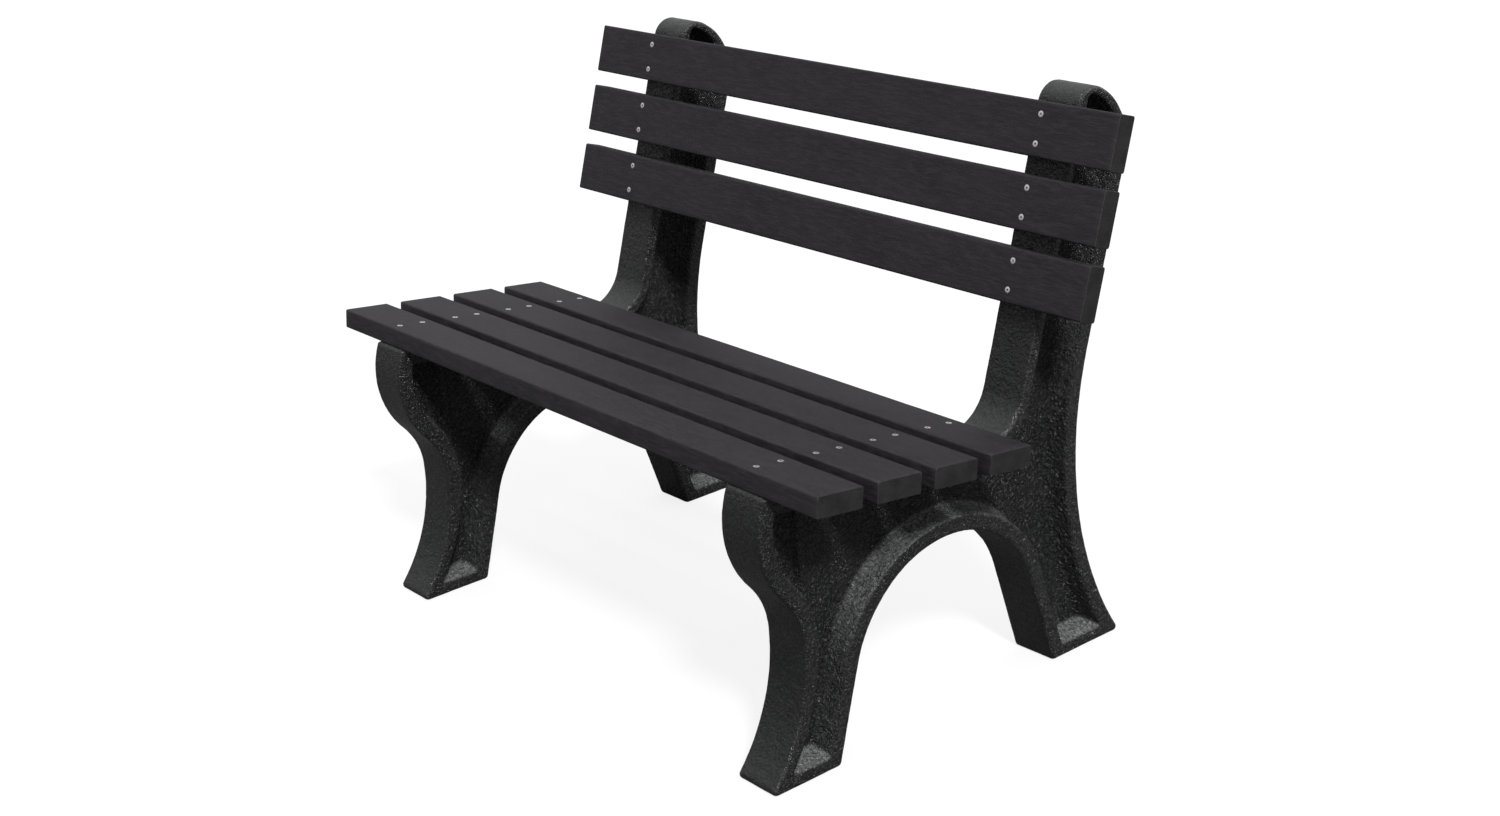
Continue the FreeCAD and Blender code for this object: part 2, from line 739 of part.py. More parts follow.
def check_and_export():
    for item in doc.Objects:
        if {"Invalid", "Error"} & set(item.State):
            raise RuntimeError(f"{item.Label} failed: {item.State}")
    bodies = [item for item in doc.Objects if item.TypeId == "PartDesign::Body"]
    for body in bodies:
        if body.Shape.isNull() or not body.Shape.isValid():
            raise RuntimeError(f"{body.Label} has no valid shape")
        expected = 2 if "screws" in body.Label else 1
        if len(body.Shape.Solids) != expected:
            raise RuntimeError(f"{body.Label} has {len(body.Shape.Solids)} solids, not {expected}")
    os.makedirs("parts", exist_ok=True)
    for body in bodies:
        body.Shape.exportStep(f"parts/{body.Label}.step")
        print(f"{body.Label}: {body.Shape.Volume / 1000:.1f} cm3")


build()
check_and_export()
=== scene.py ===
"""Looks of the park bench: moulded end frames, brushed plastic planks and steel screws, in metres.

The row frame has +X along the bench, +Y from front to back and +Z up, with the ground at z = 0.
Every piece stands where its CAD node is. Lengths are in metres and angles in degrees unless named.
"""

import math

import bmesh
import bpy
from mathutils import Matrix, Vector, noise
from mathutils.bvhtree import BVHTree


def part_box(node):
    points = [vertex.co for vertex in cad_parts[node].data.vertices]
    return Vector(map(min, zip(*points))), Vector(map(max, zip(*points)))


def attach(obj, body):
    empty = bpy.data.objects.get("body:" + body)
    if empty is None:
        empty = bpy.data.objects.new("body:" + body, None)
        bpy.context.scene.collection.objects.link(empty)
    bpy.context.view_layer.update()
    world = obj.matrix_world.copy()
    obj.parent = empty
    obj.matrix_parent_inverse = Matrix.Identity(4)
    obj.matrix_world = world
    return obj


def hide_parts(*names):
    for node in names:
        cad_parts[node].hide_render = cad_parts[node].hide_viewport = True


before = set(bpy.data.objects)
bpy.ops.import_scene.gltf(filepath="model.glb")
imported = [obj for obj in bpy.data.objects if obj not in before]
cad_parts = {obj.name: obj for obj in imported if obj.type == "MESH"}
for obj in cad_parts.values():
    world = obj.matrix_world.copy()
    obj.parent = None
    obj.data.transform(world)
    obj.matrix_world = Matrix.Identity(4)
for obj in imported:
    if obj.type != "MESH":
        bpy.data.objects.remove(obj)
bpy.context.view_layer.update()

MM = 0.001

SIDES = ["left", "right"]
SEAT_SLATS = ["seat_slat_1", "seat_slat_2", "seat_slat_3", "seat_slat_4"]
BACK_SLATS = ["back_slat_bottom", "back_slat_middle", "back_slat_top"]

SEAT_FALL = 6.8
BACK_LEAN = 17.0
SLAT_WIDTH = 82 * MM
SLAT_THICKNESS = 32 * MM
SLAT_EDGE_RADIUS = 3 * MM
SLAT_END_BEVEL = 0.8 * MM
SCREW_SPACING = 43.4 * MM
SCREW_LINES = [-SCREW_SPACING / 2, SCREW_SPACING / 2]
SCREW_SINK = 0.2 * MM

RECESS = "recess"


# ---------------------------------------------------------------- node helpers

# A mix node has like-named sockets for every kind of value, so the ones for colours go by number.
MIX_FACTOR = 0
MIX_FIRST = 6
MIX_SECOND = 7
MIX_RESULT = 2


class Nodes:
    """A node tree being built: add() makes a node, its inputs set to values or joined to sockets."""

    def __init__(self, owner):
        owner.use_nodes = True
        self.tree = owner.node_tree
        self.tree.nodes.clear()

    def add(self, kind, inputs=None, **settings):
        node = self.tree.nodes.new(kind)
        for name, value in settings.items():
            setattr(node, name, value)
        for name, value in (inputs or {}).items():
            if isinstance(value, bpy.types.NodeSocket):
                self.tree.links.new(value, node.inputs[name])
            else:
                node.inputs[name].default_value = value
        return node

    def noise(self, vector, scale, detail=2.0, roughness=0.5, distortion=0.0):
        inputs = {"Vector": vector, "Scale": scale, "Detail": detail}
        inputs.update({"Roughness": roughness, "Distortion": distortion})
        return self.add("ShaderNodeTexNoise", inputs).outputs["Fac"]

    def ramp(self, value, low, high, out_low=0.0, out_high=1.0):
        """Maps low..high to out_low..out_high and clamps."""
        inputs = {"Value": value, "From Min": low, "From Max": high}
        inputs.update({"To Min": out_low, "To Max": out_high})
        return self.add("ShaderNodeMapRange", inputs).outputs["Result"]

    def math(self, operation, first, second=0.0):
        return self.add("ShaderNodeMath", {0: first, 1: second}, operation=operation).outputs[0]

    def mix(self, factor, first, second):
        """A colour between two others."""
        inputs = {MIX_FACTOR: factor, MIX_FIRST: first, MIX_SECOND: second}
        return self.add("ShaderNodeMix", inputs, data_type="RGBA").outputs[MIX_RESULT]

    def stretched(self, vector, scale):
        inputs = {"Vector": vector, "Scale": scale}
        return self.add("ShaderNodeMapping", inputs).outputs["Vector"]

    def bump(self, height, strength, distance, normal=None):
        inputs = {"Height": height, "Strength": strength, "Distance": distance}
        if normal is not None:
            inputs["Normal"] = normal
        return self.add("ShaderNodeBump", inputs).outputs["Normal"]

    def surface(self, inputs):
        shader = self.add("ShaderNodeBsdfPrincipled", inputs)
        self.add("ShaderNodeOutputMaterial", {"Surface": shader.outputs["BSDF"]})


def grey(value, warmth=0.0):
    """A linear colour with a slight tint: positive is warmer, negative is cooler."""
    return (value * (1 + warmth), value, value * (1 - warmth), 1.0)


# ---------------------------------------------------------------- materials

# The scale of a noise, or of the stretch before it, is about the number of its grains to the metre.

# the moulded skin: two charcoals in clouds, with pale grains, worn edges with a painted edge
# highlight, a film with painted top light, and a paler recess with dust, painted light and painted
# shade under the seat
SKIN_DARK = (0.0058, 0.0067, 0.0062, 1)
SKIN_LIGHT = (0.0112, 0.0124, 0.0115, 1)
RECESS_DUST_AND_PAINTED_LIGHT = (0.055, 0.058, 0.054, 1)
SKIN_GRAIN = (0.046, 0.049, 0.047, 1)
SKIN_WORN_AND_EDGE_HIGHLIGHT = (0.075, 0.078, 0.078, 1)
FILM_AND_TOP_LIGHT = (0.095, 0.098, 0.100, 1)
DUST_AND_LIGHT_THIN = (0.10, 0.105, 0.103, 1)
DUST_AND_LIGHT_THICK = (0.35, 0.356, 0.352, 1)
# below the first height the pale layer is full; above the second it is cut back, painted shade under
# the seat
FULL_DUST_AND_LIGHT_BELOW = 0.10
PAINTED_SEAT_SHADE_ABOVE = 0.16

# the planks: two charcoals in blotches, with pale streaks, dark fibres, sawn ends and worn edges
PLANK_DARK = (0.0092, 0.0074, 0.0100, 1)
PLANK_LIGHT = (0.0156, 0.0127, 0.0170, 1)
PLANK_STREAK = (0.0320, 0.0268, 0.0335, 1)
PLANK_FIBRE = (0.0050, 0.0044, 0.0053, 1)
PLANK_SAWN = (0.0116, 0.0098, 0.0103, 1)
PLANK_WORN = (0.055, 0.053, 0.055, 1)


def moulded_plastic():
    """Charcoal moulded plastic: satin, pebbled like orange peel, coarser in the recess and paler
    there, with dust and painted light.
    """
    material = bpy.data.materials.new("moulded_plastic")
    n = Nodes(material)
    place = n.add("ShaderNodeTexCoord").outputs["Object"]
    height = n.add("ShaderNodeSeparateXYZ", {"Vector": place}).outputs["Z"]
    geometry = n.add("ShaderNodeNewGeometry")
    facing = n.add("ShaderNodeSeparateXYZ", {"Vector": geometry.outputs["Normal"]}).outputs["Z"]

    recess = n.add("ShaderNodeAttribute", attribute_name=RECESS).outputs["Fac"]

    clouds = n.noise(place, 9.0, 4.0, 0.6)
    grains = n.noise(place, 330.0, 3.0, 0.65)
    tone = n.mix(n.ramp(clouds, 0.35, 0.65), SKIN_DARK, SKIN_LIGHT)
    # paler in the recess: painted light on the shaded web, with a little dust
    tone = n.mix(n.math("MULTIPLY", recess, 0.20), tone, RECESS_DUST_AND_PAINTED_LIGHT)
    tone = n.mix(n.ramp(grains, 0.50, 0.72, 0.0, 0.7), tone, SKIN_GRAIN)

    # lighter rounded edges: wear, and a painted edge highlight
    worn = n.ramp(geometry.outputs["Pointiness"], 0.52, 0.60, 0.0, 0.5)
    worn = n.math("MULTIPLY", worn, n.ramp(n.noise(place, 60.0, 3.0), 0.4, 0.65))
    tone = n.mix(worn, tone, SKIN_WORN_AND_EDGE_HIGHLIGHT)

    # paler and rougher on up-facing surfaces: a weathered film, and painted top light
    film_and_top_light = n.ramp(facing, 0.35, 0.98, 0.0, 0.40)
    film_and_top_light = n.math("MULTIPLY", film_and_top_light, n.ramp(n.noise(place, 130.0, 4.0, 0.7), 0.25, 0.7, 0.5, 1.0))
    tone = n.mix(film_and_top_light, tone, FILM_AND_TOP_LIGHT)

    # a pale layer on up-facing surfaces in the recess: dust, and painted light on the pocket floors
    dust_and_light = n.math("POWER", n.ramp(facing, 0.12, 1.0, 0.0, 0.92), 1.4)
    # less of it high up: painted shade where the seat overhangs the recess
    dust_and_light = n.math("MINIMUM", dust_and_light, n.ramp(height, FULL_DUST_AND_LIGHT_BELOW, PAINTED_SEAT_SHADE_ABOVE, 1.0, 0.42))
    dust_and_light = n.math("MULTIPLY", dust_and_light, recess)
    dust_and_light_grains = n.ramp(n.noise(place, 240.0, 3.0, 0.7), 0.40, 0.60)
    tone = n.mix(dust_and_light, tone, n.mix(dust_and_light_grains, DUST_AND_LIGHT_THIN, DUST_AND_LIGHT_THICK))

    pebbles = n.noise(place, 150.0, 2.5, 0.6, 1.0)
    lumps = n.noise(place, 70.0, 2.0, 0.5)
    fine = n.noise(place, 900.0, 2.0, 0.6)
    normal = n.bump(lumps, 0.45, 3.5 * MM)
    normal = n.bump(pebbles, n.ramp(recess, 0.0, 1.0, 0.40, 1.0), 12 * MM, normal)
    normal = n.bump(fine, 0.25, 0.3 * MM, normal)
    roughness = n.ramp(n.noise(place, 35.0, 4.0, 0.6), 0.3, 0.7, 0.20, 0.35)
    roughness = n.math("ADD", roughness, n.math("MULTIPLY", film_and_top_light, 0.15))
    n.surface({"Base Color": tone, "Roughness": roughness, "Normal": normal})
    return material


def plank_plastic():
    """Charcoal plastic lumber: matt, brushed along its length, with sawn ends."""
    material = bpy.data.materials.new("plank_plastic")
    n = Nodes(material)
    place = n.add("ShaderNodeTexCoord").outputs["Object"]
    geometry = n.add("ShaderNodeNewGeometry")
    along = n.add("ShaderNodeSeparateXYZ", {"Vector": geometry.outputs["Normal"]}).outputs["X"]
    sawn = n.ramp(n.math("ABSOLUTE", along), 0.7, 0.9)

    streaks = n.noise(n.stretched(place, (34.0, 210.0, 210.0)), 1.0, 5.0, 0.72)
    fibres = n.noise(n.stretched(place, (90.0, 1000.0, 1000.0)), 1.0, 3.0, 0.6)
    blotches = n.noise(n.stretched(place, (9.0, 26.0, 26.0)), 1.0, 4.0, 0.6)
    tone = n.mix(n.ramp(blotches, 0.35, 0.65), PLANK_DARK, PLANK_LIGHT)
    tone = n.mix(n.ramp(streaks, 0.46, 0.62, 0.0, 0.7), tone, PLANK_STREAK)
    tone = n.mix(n.ramp(fibres, 0.5, 0.8, 0.0, 0.4), tone, PLANK_FIBRE)
    tone = n.mix(sawn, tone, PLANK_SAWN)

    worn = n.ramp(geometry.outputs["Pointiness"], 0.515, 0.56, 0.0, 0.3)
    worn = n.math("MULTIPLY", worn, n.ramp(n.noise(place, 45.0, 3.0), 0.35, 0.6))
    tone = n.mix(worn, tone, PLANK_WORN)

    blade = n.add("ShaderNodeTexWave", {"Vector": place, "Scale": 160.0, "Distortion": 2.5})
    blade.bands_direction = "DIAGONAL"
    saw_marks = n.math("MULTIPLY", blade.outputs["Fac"], sawn)
    grain = n.math("ADD", streaks, n.math("MULTIPLY", fibres, 0.6))
    normal = n.bump(blotches, 0.3, 2 * MM)
    normal = n.bump(grain, 0.9, 0.9 * MM, normal)
    normal = n.bump(saw_marks, 0.4, 0.5 * MM, normal)
    roughness = n.ramp(streaks, 0.3, 0.7, 0.52, 0.68)
    n.surface({"Base Color": tone, "Roughness": roughness, "Normal": normal})
    return material


def screw_steel():
    """Stainless steel with fine turned scratches and stains, and painted shade in the driver recess.
    """
    material = bpy.data.materials.new("screw_steel")
    n = Nodes(material)
    place = n.add("ShaderNodeTexCoord").outputs["Object"]
    recess = n.add("ShaderNodeAttribute", attribute_name=RECESS).outputs["Fac"]
    scratches = n.noise(place, 2600.0, 3.0, 0.7)
    stains = n.noise(place, 500.0, 3.0, 0.6)
    tone = n.mix(n.ramp(stains, 0.4, 0.7, 0.0, 0.5), grey(0.96, 0.01), grey(0.78, 0.03))
    # painted shade in the driver recess: near black and not metallic
    tone = n.mix(recess, tone, grey(0.02))
    normal = n.bump(scratches, 0.2, 0.1 * MM)
    roughness = n.ramp(scratches, 0.3, 0.7, 0.28, 0.45)
    roughness = n.math("MAXIMUM", roughness, n.math("MULTIPLY", recess, 0.8))
    inputs = {"Base Color": tone, "Metallic": n.ramp(recess, 0.0, 1.0, 1.0, 0.0)}
    inputs.update({"Roughness": roughness, "Normal": normal})
    n.surface(inputs)
    return material


MOULDED = moulded_plastic()
PLANK = plank_plastic()
STEEL = screw_steel()


def mesh_from(bm, name, sharp):
    """A smooth-shaded mesh whose edges stay crisp where they bend more than sharp degrees."""
    bmesh.ops.recalc_face_normals(bm, faces=bm.faces)
    mesh = bpy.data.meshes.new(name)
    bm.to_mesh(mesh)
    bm.free()
    for face in mesh.polygons:
        face.use_smooth = True
    mesh.set_sharp_from_angle(angle=math.radians(sharp))
    return mesh


def finish_piece(name, mesh, material, slot, *nodes):
    """Makes the object for a mesh in the row frame, in the place of its CAD nodes."""
    mesh.materials.clear()
    mesh.materials.append(material)
    piece = bpy.data.objects.new(name, mesh)
    bpy.context.scene.collection.objects.link(piece)
    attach(piece, "root")
    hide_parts(*nodes)


# ---------------------------------------------------------------- end frames

WELD_DISTANCE = 0.01 * MM
REMESH_VOXEL = 3.5 * MM
WARP_SIZE = 90 * MM
WARP_HEIGHT = 0.5 * MM
LUMP_SIZE = 14 * MM
LUMP_HEIGHT = 0.25 * MM
RECESS_STEP = 3 * MM
RECESS_REACH = 42 * MM


def welded_copy(mesh):
    """A copy of a CAD mesh whose faces share their corners."""
    copy = mesh.copy()
    bm = bmesh.new()
    bm.from_mesh(copy)
    bmesh.ops.remove_doubles(bm, verts=bm.verts, dist=WELD_DISTANCE)
    bm.to_mesh(copy)
    bm.free()
    return copy


def even_mesh(mesh, voxel):
    """The same solid as an even net of small quads."""
    holder = bpy.data.objects.new("even_mesh", mesh)
    bpy.context.scene.collection.objects.link(holder)
    remesh = holder.modifiers.new("remesh", "REMESH")
    remesh.mode = "VOXEL"
    remesh.voxel_size = voxel
    remesh.use_smooth_shade = True
    graph = bpy.context.evaluated_depsgraph_get()
    result = bpy.data.meshes.new_from_object(holder.evaluated_get(graph), depsgraph=graph)
    bpy.data.objects.remove(holder)
    return result


def mark_recess(mesh, surface, middle):
    """Stores 1 at the vertices inside the recess: just off them, the web is straight behind."""
    values = []
    for vertex in mesh.vertices:
        inwards = Vector((-1, 0, 0)) if vertex.co.x > middle else Vector((1, 0, 0))
        start = vertex.co + vertex.normal * RECESS_STEP
        hit, _, _, _ = surface.ray_cast(start, inwards, RECESS_REACH)
        values.append(1.0 if hit else 0.0)
    mesh.attributes.new(RECESS, "FLOAT", "POINT").data.foreach_set("value", values)


def moulded_frame(node):
    """The end frame with the slight warp and lumps of a thick plastic moulding."""
    source = welded_copy(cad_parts[node].data)
    bm = bmesh.new()
    bm.from_mesh(source)
    surface = BVHTree.FromBMesh(bm)
    bm.free()
    mesh = even_mesh(source, REMESH_VOXEL)
    normals = [vertex.normal.copy() for vertex in mesh.vertices]
    for vertex, normal in zip(mesh.vertices, normals):
        point, _, _, _ = surface.find_nearest(vertex.co)
        warp = noise.noise(point / WARP_SIZE) * WARP_HEIGHT
        lump = noise.noise(point / LUMP_SIZE) * LUMP_HEIGHT
        vertex.co = point + normal * (warp + lump - WARP_HEIGHT / 2)
        vertex.co.z = max(vertex.co.z, 0.0)
    mesh.update()
    low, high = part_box(node)
    mark_recess(mesh, surface, (low.x + high.x) / 2)
    name = node.replace("end_frame", "moulded_frame")
    finish_piece(name, mesh, MOULDED, "moulded_plastic", node)


# ---------------------------------------------------------------- planks

PLANK_SHARP = 32
CORNER_STEPS = 4
PATCH = 8 * MM
PATCH_STEPS = 4
LOW_CORNER = 225
HOLE_RADIUS = 2.5 * MM
HOLE_EDGE = 0.4 * MM
SINK_RADIUS = 5.3 * MM
SINK_LIP = 1.2 * MM
SINK_DEPTH = SINK_RADIUS - HOLE_RADIUS
SINK_ROUNDING = 0.1 * MM
STATION_GAP = 12 * MM
SECTION_GAP = 8 * MM
BOW_LENGTH = 350 * MM
BOW_HEIGHT = 0.35 * MM
RIPPLE_LENGTH = 35 * MM
RIPPLE_HEIGHT = 0.12 * MM


def spread(start, end, gap):
    """Evenly spaced values from start to end, no further apart than gap, without the last one."""
    steps = max(1, math.ceil((end - start) / gap))
    return [start + (end - start) * step / steps for step in range(steps)]


def with_patches(start, end, centres, gap):
    """Values from start to end with a regular patch of PATCH_STEPS steps around each centre."""
    values = []
    at = start
    for centre in centres:
        values += spread(at, centre - PATCH, gap)
        values += [centre - PATCH + 2 * PATCH * step / PATCH_STEPS for step in range(PATCH_STEPS)]
        at = centre + PATCH
    return values + spread(at, end, gap) + [end]


def patch_starts(values, centres):
    """Where the patch around each centre begins in a list made by with_patches."""
    starts = []
    for centre in centres:
        starts.append(min(range(len(values)), key=lambda place: abs(values[place] - centre + PATCH)))
    return starts


def cross_section():
    """The plank's outline as (across, height) points, and the flat top and bottom as places in it."""
    half = SLAT_WIDTH / 2
    radius = SLAT_EDGE_RADIUS
    shoulder = half - radius
    low = radius - SLAT_THICKNESS
    flat = with_patches(-shoulder, shoulder, SCREW_LINES, SECTION_GAP)
    side = [-depth for depth in spread(radius, -low, SECTION_GAP)] + [low]
    arc = []
    for step in range(1, CORNER_STEPS):
        angle = math.radians(90 * step / CORNER_STEPS)
        arc.append((radius * math.sin(angle), radius * math.cos(angle)))
    points = [(y, 0.0) for y in flat]
    points += [(shoulder + small, large - radius) for small, large in arc]
    points += [(half, z) for z in side]
    points += [(shoulder + large, low - small) for small, large in arc]
    points += [(y, -SLAT_THICKNESS) for y in reversed(flat)]
    points += [(-shoulder - small, low - large) for small, large in arc]
    points += [(-half, z) for z in reversed(side)]
    points += [(-shoulder - large, small - radius) for small, large in arc]
    top = list(range(len(flat)))
    first_low = len(flat) + 2 * len(arc) + len(side)
    bottom = list(range(first_low + len(flat) - 1, first_low - 1, -1))
    return points, top, bottom


def hole_ring(bm, x, y, radius, height, count, place):
    """A ring of vertices about a screw's axis, starting at the patch's low corner."""
    ring = []
    for step in range(count):
        angle = math.radians(LOW_CORNER + 360 * step / count)
        at = Vector((x + radius * math.cos(angle), y + radius * math.sin(angle), height))
        ring.append(bm.verts.new(place @ at))
    return ring


def bridge(bm, first, second):
    """Quads between two closed rings of the same length."""
    count = len(first)
    for step in range(count):
        after = (step + 1) % count
        bm.faces.new([first[step], first[after], second[after], second[step]])


def patch_border(grid, row, columns):
    """The vertices around a patch of the grid, from its low corner, counterclockwise."""
    last = PATCH_STEPS
    border = [grid[row + step][columns[0]] for step in range(last)]
    border += [grid[row + last][columns[step]] for step in range(last)]
    border += [grid[row + last - step][columns[last]] for step in range(last)]
    border += [grid[row][columns[last - step]] for step in range(last)]
    return border


def screw_hole(bm, grid, row, upper_columns, lower_columns, x, y, place):
    """A countersunk hole right through the plank, joined to the open patches of its faces."""
    upper = patch_border(grid, row, upper_columns)
    lower = patch_border(grid, row, lower_columns)
    levels = [
        (SINK_RADIUS + SINK_LIP, 0.0),
        (SINK_RADIUS, -SINK_ROUNDING),
        (HOLE_RADIUS, -SINK_ROUNDING - SINK_DEPTH),
        (HOLE_RADIUS, HOLE_EDGE - SLAT_THICKNESS),
        (HOLE_RADIUS + HOLE_EDGE, -SLAT_THICKNESS),
    ]
    rings = [upper]
    rings += [hole_ring(bm, x, y, radius, z, len(upper), place) for radius, z in levels]
    rings.append(lower)
    for first, second in zip(rings, rings[1:]):
        bridge(bm, first, second)


def sawn_end(bm, ring, section, x, outward, place):
    """Closes one end of the plank with a flat face and a small bevel."""
    middle = -SLAT_THICKNESS / 2
    narrower = 1 - 2 * SLAT_END_BEVEL / SLAT_WIDTH
    thinner = 1 - 2 * SLAT_END_BEVEL / SLAT_THICKNESS
    rim = []
    for y, z in section:
        at = Vector((x, y * narrower, middle + (z - middle) * thinner))
        rim.append(bm.verts.new(place @ at))
    for vertex in ring:
        vertex.co -= place.to_3x3() @ Vector((outward * SLAT_END_BEVEL, 0, 0))
    bridge(bm, ring, rim)
    bm.faces.new(rim)


def unevenness(at, place):
    """How far a point of an extruded plank stands off its true place, by a slight bow and ripple."""
    bow = noise.noise(Vector((at.x / BOW_LENGTH, at.y, at.z))) * BOW_HEIGHT
    ripple = noise.noise(at / RIPPLE_LENGTH) * RIPPLE_HEIGHT
    return place.to_3x3() @ Vector((0, bow, bow + ripple))


def plank_mesh(name, length, screw_places, place):
    """A plank with rounded edges, sawn ends and a countersunk hole for each screw."""
    bm = bmesh.new()
    section, top, bottom = cross_section()
    stations = with_patches(-length / 2, length / 2, screw_places, STATION_GAP)
    grid = []
    for x in stations:
        grid.append([bm.verts.new(place @ Vector((x, y, z))) for y, z in section])

    rows = patch_starts(stations, screw_places)
    columns = patch_starts([section[point][0] for point in top], SCREW_LINES)
    open_quads = set()
    for row in rows:
        for column in columns:
            for along in range(PATCH_STEPS):
                for across in range(PATCH_STEPS):
                    open_quads.add((row + along, top[column + across]))
                    open_quads.add((row + along, bottom[column + across + 1]))
    for row in range(len(stations) - 1):
        for point in range(len(section)):
            if (row, point) not in open_quads:
                after = (point + 1) % len(section)
                corners = [(row, point), (row, after), (row + 1, after), (row + 1, point)]
                bm.faces.new([grid[i][j] for i, j in corners])

    for row, x in zip(rows, screw_places):
        for column, y in zip(columns, SCREW_LINES):
            patch = slice(column, column + PATCH_STEPS + 1)
            screw_hole(bm, grid, row, top[patch], bottom[patch], x, y, place)
    sawn_end(bm, grid[0], section, stations[0], -1, place)
    sawn_end(bm, grid[-1], section, stations[-1], 1, place)
    for vertex in bm.verts:
        vertex.co += unevenness(vertex.co, place)
    return mesh_from(bm, name, PLANK_SHARP)


# ---------------------------------------------------------------- screws

SCREW_SHARP = 35
HEAD_RADIUS = 4.8 * MM
HEAD_LAND = 0.2 * MM
HEAD_EASE = 0.12 * MM
NECK_FILLET = 0.35 * MM
NECK_LENGTH = 0.85 * MM
SHANK_RADIUS = 2.1 * MM
THREAD_RADIUS = 2.4 * MM
THREAD_CORE = 1.65 * MM
THREAD_PITCH = 2.6 * MM
THREAD_START = 22 * MM
CREST_SLOPE = 3.2
SCREW_LENGTH = 64 * MM
SCREW_TIP = 6 * MM
POINT_RADIUS = 0.15 * MM
DRIVE_WIDTH = 2.6 * MM
DRIVE_DEPTH = 2.0 * MM
DRIVE_CONE = 0.5 * MM
DRIVE_EASE = 0.15 * MM
DRIVE_TAPER = 0.88
TURN_STEPS = 24
ROWS_PER_TURN = 8
FIRST_SPIN = 17


def turned_ring(bm, reaches, depth, place):
    """A ring of vertices about the screw's axis, at a depth below the head's top."""
    ring = []
    for step, reach in enumerate(reaches):
        angle = 2 * math.pi * step / TURN_STEPS
        at = Vector((reach * math.cos(angle), reach * math.sin(angle), -depth))
        ring.append(bm.verts.new(place @ at))
    return ring


def fan(bm, ring, middle):
    """Triangles from a closed ring to one vertex."""
    for step, vertex in enumerate(ring):
        bm.faces.new([vertex, ring[(step + 1) % len(ring)], middle])


def head_rings(bm, place):
    """The countersunk head and the plain shank, from the rim of the head down."""
    neck = SHANK_RADIUS + NECK_FILLET
    cone_end = HEAD_LAND + HEAD_RADIUS - neck
    profile = [
        (HEAD_RADIUS - 2 * HEAD_EASE, 0.0),
        (HEAD_RADIUS, HEAD_EASE),
        (HEAD_RADIUS, HEAD_LAND),
        (neck, cone_end),
        (SHANK_RADIUS, cone_end + NECK_LENGTH),
        (SHANK_RADIUS, THREAD_START),
    ]
    return [turned_ring(bm, [radius] * TURN_STEPS, depth, place) for radius, depth in profile]


def thread_reach(depth, share):
    """The radius of the threaded shank at a depth and a share of a turn."""
    turn = (depth / THREAD_PITCH + share) % 1.0
    crest = max(0.0, 1 - abs(turn - 0.5) * CREST_SLOPE)
    formed = min(1.0, (depth - THREAD_START) / THREAD_PITCH)
    core = SHANK_RADIUS + (THREAD_CORE - SHANK_RADIUS) * formed
    taper = min(1.0, (SCREW_LENGTH - SCREW_SINK - depth) / SCREW_TIP)
    return max(taper * (core + (THREAD_RADIUS - core) * crest * formed), POINT_RADIUS)


def thread_rings(bm, place):
    """The threaded shank, down to just above the point."""
    row_height = THREAD_PITCH / ROWS_PER_TURN
    rows = math.ceil((SCREW_LENGTH - SCREW_SINK - THREAD_START) / row_height)
    rings = []
    for row in range(1, rows):
        depth = THREAD_START + row * row_height
        reaches = [thread_reach(depth, step / TURN_STEPS) for step in range(TURN_STEPS)]
        rings.append(turned_ring(bm, reaches, depth, place))
    return rings


def drive_rings(bm, place):
    """The square recess for the driver, from its eased rim down."""
    square = []
    for step in range(TURN_STEPS):
        angle = 2 * math.pi * step / TURN_STEPS
        square.append(DRIVE_WIDTH / 2 / max(abs(math.cos(angle)), abs(math.sin(angle))))
    profile = [(1 + 2 * DRIVE_EASE / DRIVE_WIDTH, 0.0), (1.0, DRIVE_EASE), (DRIVE_TAPER, DRIVE_DEPTH)]
    rings = []
    for scale, depth in profile:
        rings.append(turned_ring(bm, [reach * scale for reach in square], depth, place))
    return rings


def add_screw(bm, place):
    """One countersunk wood screw with a square recess, its head's top at the origin of its place."""
    outside = head_rings(bm, place) + thread_rings(bm, place)
    for upper, lower in zip(outside, outside[1:]):
        bridge(bm, upper, lower)
    fan(bm, outside[-1], bm.verts.new(place @ Vector((0, 0, SCREW_SINK - SCREW_LENGTH))))

    rim, wall, bottom = drive_rings(bm, place)
    for outer, inner in ((outside[0], rim), (rim, wall), (wall, bottom)):
        bridge(bm, outer, inner)
    centre = bm.verts.new(place @ Vector((0, 0, -DRIVE_DEPTH - DRIVE_CONE)))
    fan(bm, bottom, centre)
    recess = bm.verts.layers.float[RECESS]
    for vertex in wall + bottom + [centre]:
        vertex[recess] = 1.0


def next_spin(spin):
    """Another angle for a screw's recess, so that no two neighbours stop at the same turn."""
    return (spin * 7 + 13) % 90


def screw_pair_mesh(name, x, place, spin):
    """The two screws of a plank at one frame, sunk into the plank, each turned its own way."""
    bm = bmesh.new()
    bm.verts.layers.float.new(RECESS)
    for index, y in enumerate(SCREW_LINES):
        top = place @ Vector((x, y, 0))
        shifted = Matrix.Translation(unevenness(top, place)) @ place
        turned = Matrix.Rotation(math.radians(spin * (index + 1)), 4, "Z")
        add_screw(bm, shifted @ Matrix.Translation((x, y, -SCREW_SINK)) @ turned)
    return mesh_from(bm, name, SCREW_SHARP)


# ---------------------------------------------------------------- the bench


def plank_place(node, turn):
    """The place of a plank: its origin is in the middle of its visible face."""
    low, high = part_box(node)
    turned = Matrix.Rotation(math.radians(turn), 4, "X")
    centre = (low + high) / 2
    return Matrix.Translation(centre) @ turned @ Matrix.Translation((0, 0, SLAT_THICKNESS / 2))


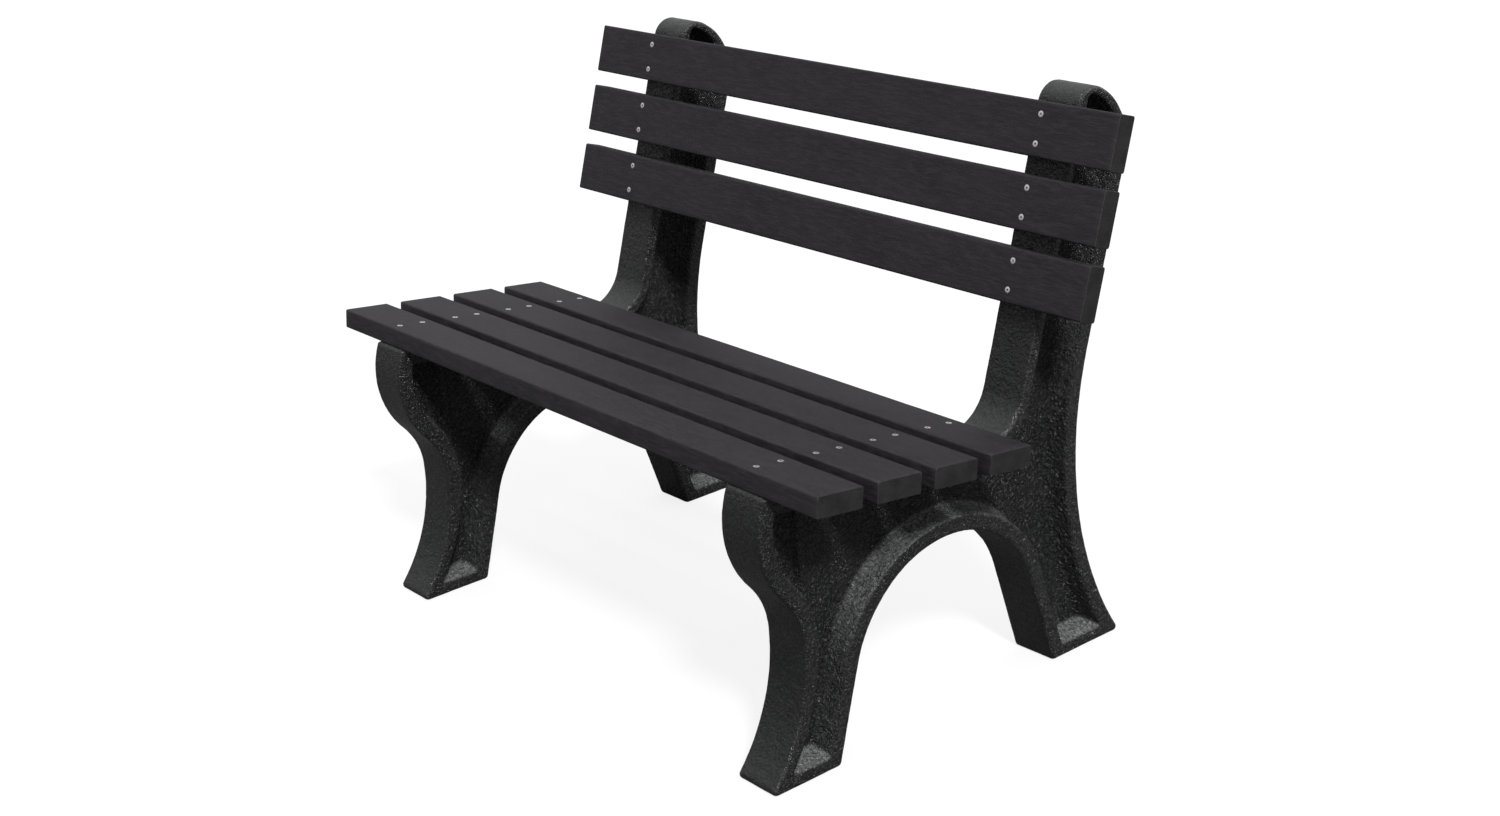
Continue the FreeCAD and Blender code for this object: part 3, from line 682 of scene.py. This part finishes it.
def build_bench():
    """The end frames, then each plank with its two pairs of screws."""
    screw_places = []
    for side in SIDES:
        node = f"end_frame_{side}"
        moulded_frame(node)
        low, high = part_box(node)
        screw_places.append((low.x + high.x) / 2)

    spin = FIRST_SPIN
    for nodes, turn in ((SEAT_SLATS, -SEAT_FALL), (BACK_SLATS, 90 - BACK_LEAN)):
        for node in nodes:
            place = plank_place(node, turn)
            low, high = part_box(node)
            name = node.replace("slat", "plank")
            mesh = plank_mesh(name, high.x - low.x, screw_places, place)
            finish_piece(name, mesh, PLANK, "plank_plastic", node)
            for side, x in zip(SIDES, screw_places):
                screws = f"{name}_wood_screws_{side}"
                mesh = screw_pair_mesh(screws, x, place, spin)
                finish_piece(screws, mesh, STEEL, "screw_steel", f"{node}_screws_{side}")
                spin = next_spin(spin)


# ---------------------------------------------------------------- stage, light and camera

FLOOR_HALF = 40.0
FLOOR_DROP = 0.2 * MM
CAMERA_TARGET = Vector((0.4806, -0.3560, 0.5788))
CAMERA_DISTANCE = 2.8112
CAMERA_AZIMUTH = 51.29
CAMERA_ELEVATION = 20.54
CAMERA_ROLL = -3.63
# The lens and the sensor are in millimetres, as Blender takes them.
FOCAL_LENGTH = 50.88
SENSOR_WIDTH = 36.0
KEY_DIRECTION = Vector((0.66, -0.31, 0.70))
KEY_STRENGTH = 2.4
KEY_SPREAD = 8
GLOW_NEAR = 0.18
GLOW_FAR = 0.45
GLOW_ABOVE = 0.45
FLOOR_SEEN = 0.20
FLOOR_UNSEEN = 0.14
FLOOR_OWN_LIGHT = 0.83


def floor():
    """A pale floor that merges with the surroundings. Its own light is for the camera alone."""
    mesh = bpy.data.meshes.new("floor")
    bm = bmesh.new()
    bmesh.ops.create_grid(bm, x_segments=4, y_segments=4, size=FLOOR_HALF)
    bm.to_mesh(mesh)
    bm.free()
    material = bpy.data.materials.new("floor")
    n = Nodes(material)
    seen = n.add("ShaderNodeLightPath").outputs["Is Camera Ray"]
    colour = n.mix(seen, grey(FLOOR_UNSEEN), grey(FLOOR_SEEN))
    own_light = n.math("MULTIPLY", seen, FLOOR_OWN_LIGHT)
    inputs = {"Base Color": colour, "Roughness": 0.9, "Specular IOR Level": 0.1}
    inputs.update({"Emission Color": grey(1.0), "Emission Strength": own_light})
    n.surface(inputs)
    mesh.materials.append(material)
    ground = bpy.data.objects.new("floor", mesh)
    ground.location.z = -FLOOR_DROP
    bpy.context.scene.collection.objects.link(ground)


def surroundings():
    """Soft light from all round, stronger from above and behind the bench, and white to the camera."""
    world = bpy.data.worlds.new("studio")
    bpy.context.scene.world = world
    n = Nodes(world)
    direction = n.add("ShaderNodeTexCoord").outputs["Generated"]
    height = n.add("ShaderNodeSeparateXYZ", {"Vector": direction}).outputs["Z"]
    azimuth = math.radians(CAMERA_AZIMUTH)
    away = (-math.sin(azimuth), math.cos(azimuth), 0.0)
    dot = n.add("ShaderNodeVectorMath", {0: direction, 1: away}, operation="DOT_PRODUCT")
    far_side = n.ramp(dot.outputs["Value"], -1.0, 1.0, GLOW_NEAR, GLOW_FAR)
    above = n.ramp(height, 0.0, 1.0, 0.0, GLOW_ABOVE)
    glow = n.math("ADD", far_side, above)
    seen = n.add("ShaderNodeLightPath").outputs["Is Camera Ray"]
    strength = n.math("MAXIMUM", glow, seen)
    background = n.add("ShaderNodeBackground", {"Color": grey(1.0), "Strength": strength})
    n.add("ShaderNodeOutputWorld", {"Surface": background.outputs[0]})


def key_light():
    """A far, wide light from the right, from above and a little from the front."""
    light = bpy.data.lights.new("key", "SUN")
    light.energy = KEY_STRENGTH
    light.angle = math.radians(KEY_SPREAD)
    lamp = bpy.data.objects.new("key", light)
    lamp.rotation_mode = "QUATERNION"
    lamp.rotation_quaternion = KEY_DIRECTION.to_track_quat("Z", "Y")
    bpy.context.scene.collection.objects.link(lamp)


def camera():
    """Looks down at the right end of the seat from the front right, with a slight roll."""
    azimuth = math.radians(CAMERA_AZIMUTH)
    elevation = math.radians(CAMERA_ELEVATION)
    back = Vector((math.sin(azimuth), -math.cos(azimuth), math.tan(elevation))).normalized()
    data = bpy.data.cameras.new("camera")
    data.sensor_width = SENSOR_WIDTH
    data.lens = FOCAL_LENGTH
    eye = bpy.data.objects.new("camera", data)
    eye.rotation_mode = "QUATERNION"
    level = back.to_track_quat("Z", "Y")
    roll = Matrix.Rotation(math.radians(CAMERA_ROLL), 3, "Z").to_quaternion()
    eye.rotation_quaternion = level @ roll
    eye.location = CAMERA_TARGET + back * CAMERA_DISTANCE
    bpy.context.scene.collection.objects.link(eye)
    bpy.context.scene.camera = eye


build_bench()
floor()
surroundings()
key_light()
camera()
bpy.context.scene.view_settings.view_transform = "Standard"
